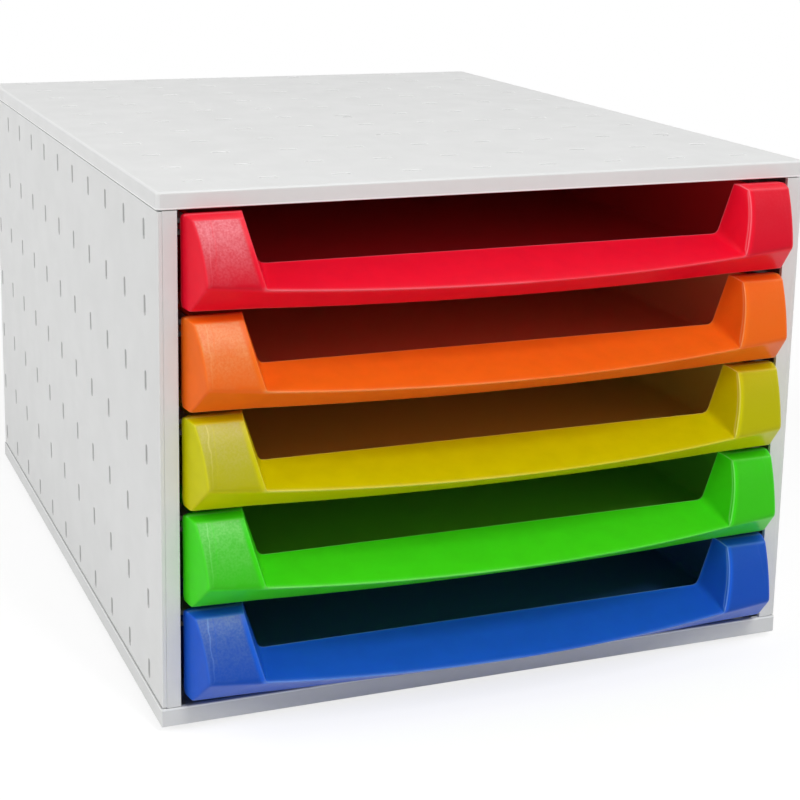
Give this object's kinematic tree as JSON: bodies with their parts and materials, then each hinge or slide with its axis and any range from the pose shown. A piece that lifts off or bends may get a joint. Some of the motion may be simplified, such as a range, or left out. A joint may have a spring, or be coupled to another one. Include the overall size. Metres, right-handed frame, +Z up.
{
  "type": "plastic drawer tower",
  "caption": "Desktop drawer tower: a grey box case open at the front, filled with stacked translucent coloured trays that slide out, each with a sloping finger ledge between two posts.",
  "frame": {"origin": "centre of the whole tower's bounding box, at floor level under the feet, drawers closed", "axes": "+Z up, +Y from the open front to the back, +X to the right of a person who faces the front; the drawers slide out along -Y"},
  "size_m": [0.284, 0.387, 0.218],
  "materials": {
    "case_light": "fine matt grain",
    "case_grey": "fine matt grain",
    "frame_grey": "matt",
    "clear_red": "translucent, softly frosted",
    "clear_orange": "translucent, softly frosted",
    "clear_yellow": "translucent, softly frosted",
    "clear_green": "translucent, softly frosted",
    "clear_blue": "translucent, softly frosted",
    "foot_rubber": "soft matt"
  },
  "bodies": {
    "case": {"top_cover": "case_light", "base_cover": "case_grey", "left_side_panel": "case_grey", "right_side_panel": "case_grey", "left_runner_frame": "frame_grey", "right_runner_frame": "frame_grey", "back_panel": "case_grey", "foot_front_left": "foot_rubber", "foot_front_right": "foot_rubber", "foot_rear_left": "foot_rubber", "foot_rear_right": "foot_rubber"},
    "red_drawer": {"drawer_red": "clear_red"},
    "orange_drawer": {"drawer_orange": "clear_orange"},
    "yellow_drawer": {"drawer_yellow": "clear_yellow"},
    "green_drawer": {"drawer_green": "clear_green"},
    "blue_drawer": {"drawer_blue": "clear_blue"}
  },
  "joints": [
    {"name": "red_slide", "type": "slide", "parent": "case", "child": "red_drawer", "axis": [0, -1, 0], "range_m": [0, 0.23]},
    {"name": "orange_slide", "type": "slide", "parent": "case", "child": "orange_drawer", "axis": [0, -1, 0], "range_m": [0, 0.23]},
    {"name": "yellow_slide", "type": "slide", "parent": "case", "child": "yellow_drawer", "axis": [0, -1, 0], "range_m": [0, 0.23]},
    {"name": "green_slide", "type": "slide", "parent": "case", "child": "green_drawer", "axis": [0, -1, 0], "range_m": [0, 0.23]},
    {"name": "blue_slide", "type": "slide", "parent": "case", "child": "blue_drawer", "axis": [0, -1, 0], "range_m": [0, 0.23]}
  ]
}
